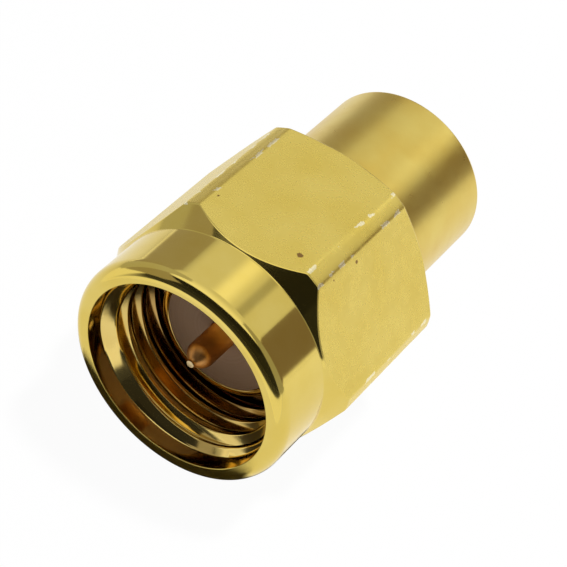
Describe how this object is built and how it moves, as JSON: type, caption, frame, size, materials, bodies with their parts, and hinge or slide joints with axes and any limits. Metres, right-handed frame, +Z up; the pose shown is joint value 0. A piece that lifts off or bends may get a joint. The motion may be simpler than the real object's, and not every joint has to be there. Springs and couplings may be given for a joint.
{
  "type": "sma connector",
  "caption": "Gold-plated SMA plug termination: captive hex coupling nut on a plain round body, with a centre contact, insulating bead, gasket and an enclosed resistor.",
  "frame": {"origin": "centre of the reference plane, on the axis, where the centre contact's pin leaves the insulating bead", "axes": "+Y runs back along the connector's axis from the open mouth to the rear of the body, +Z is up, square to the flat opposite the one it lies on, +X is to the right seen from the mouth"},
  "size_m": [0.009, 0.013, 0.008],
  "materials": {
    "nut_gold": "gold plate on turned and milled brass, bright collar and satin flats",
    "body_gold": "gold plate on fine turned brass, satin along the barrel",
    "contact_gold": "gold plate on beryllium copper, smooth",
    "spring_bronze": "bare spring bronze, dull",
    "sleeve_brass": "bare turned brass",
    "silicone": "matt moulded silicone",
    "bead_plastic": "faced brown-grey bead plastic, slightly waxy",
    "alumina": "fired alumina with a thin film resistor on it",
    "cap_plating": "tin plate on pressed steel"
  },
  "bodies": {
    "plug_body": {"connector_body": "body_gold", "gasket": "silicone", "insulating_bead": "bead_plastic", "centre_contact": "contact_gold", "resistor_front_cap": "cap_plating", "resistor_core": "alumina", "resistor_rear_cap": "cap_plating", "matching_sleeve": "sleeve_brass", "rear_plug": "body_gold"},
    "ring": {"retaining_ring": "spring_bronze"},
    "nut": {"coupling_nut": "nut_gold"}
  },
  "joints": [
    {"name": "nut_float", "type": "slide", "parent": "plug_body", "child": "ring", "axis": [0, 1, 0], "range_m": [0, 0.0002]},
    {"name": "nut_spin", "type": "hinge", "parent": "ring", "child": "nut", "pos_m": [0, 0.0037, 0], "axis": [0, 1, 0], "continuous": true}
  ]
}
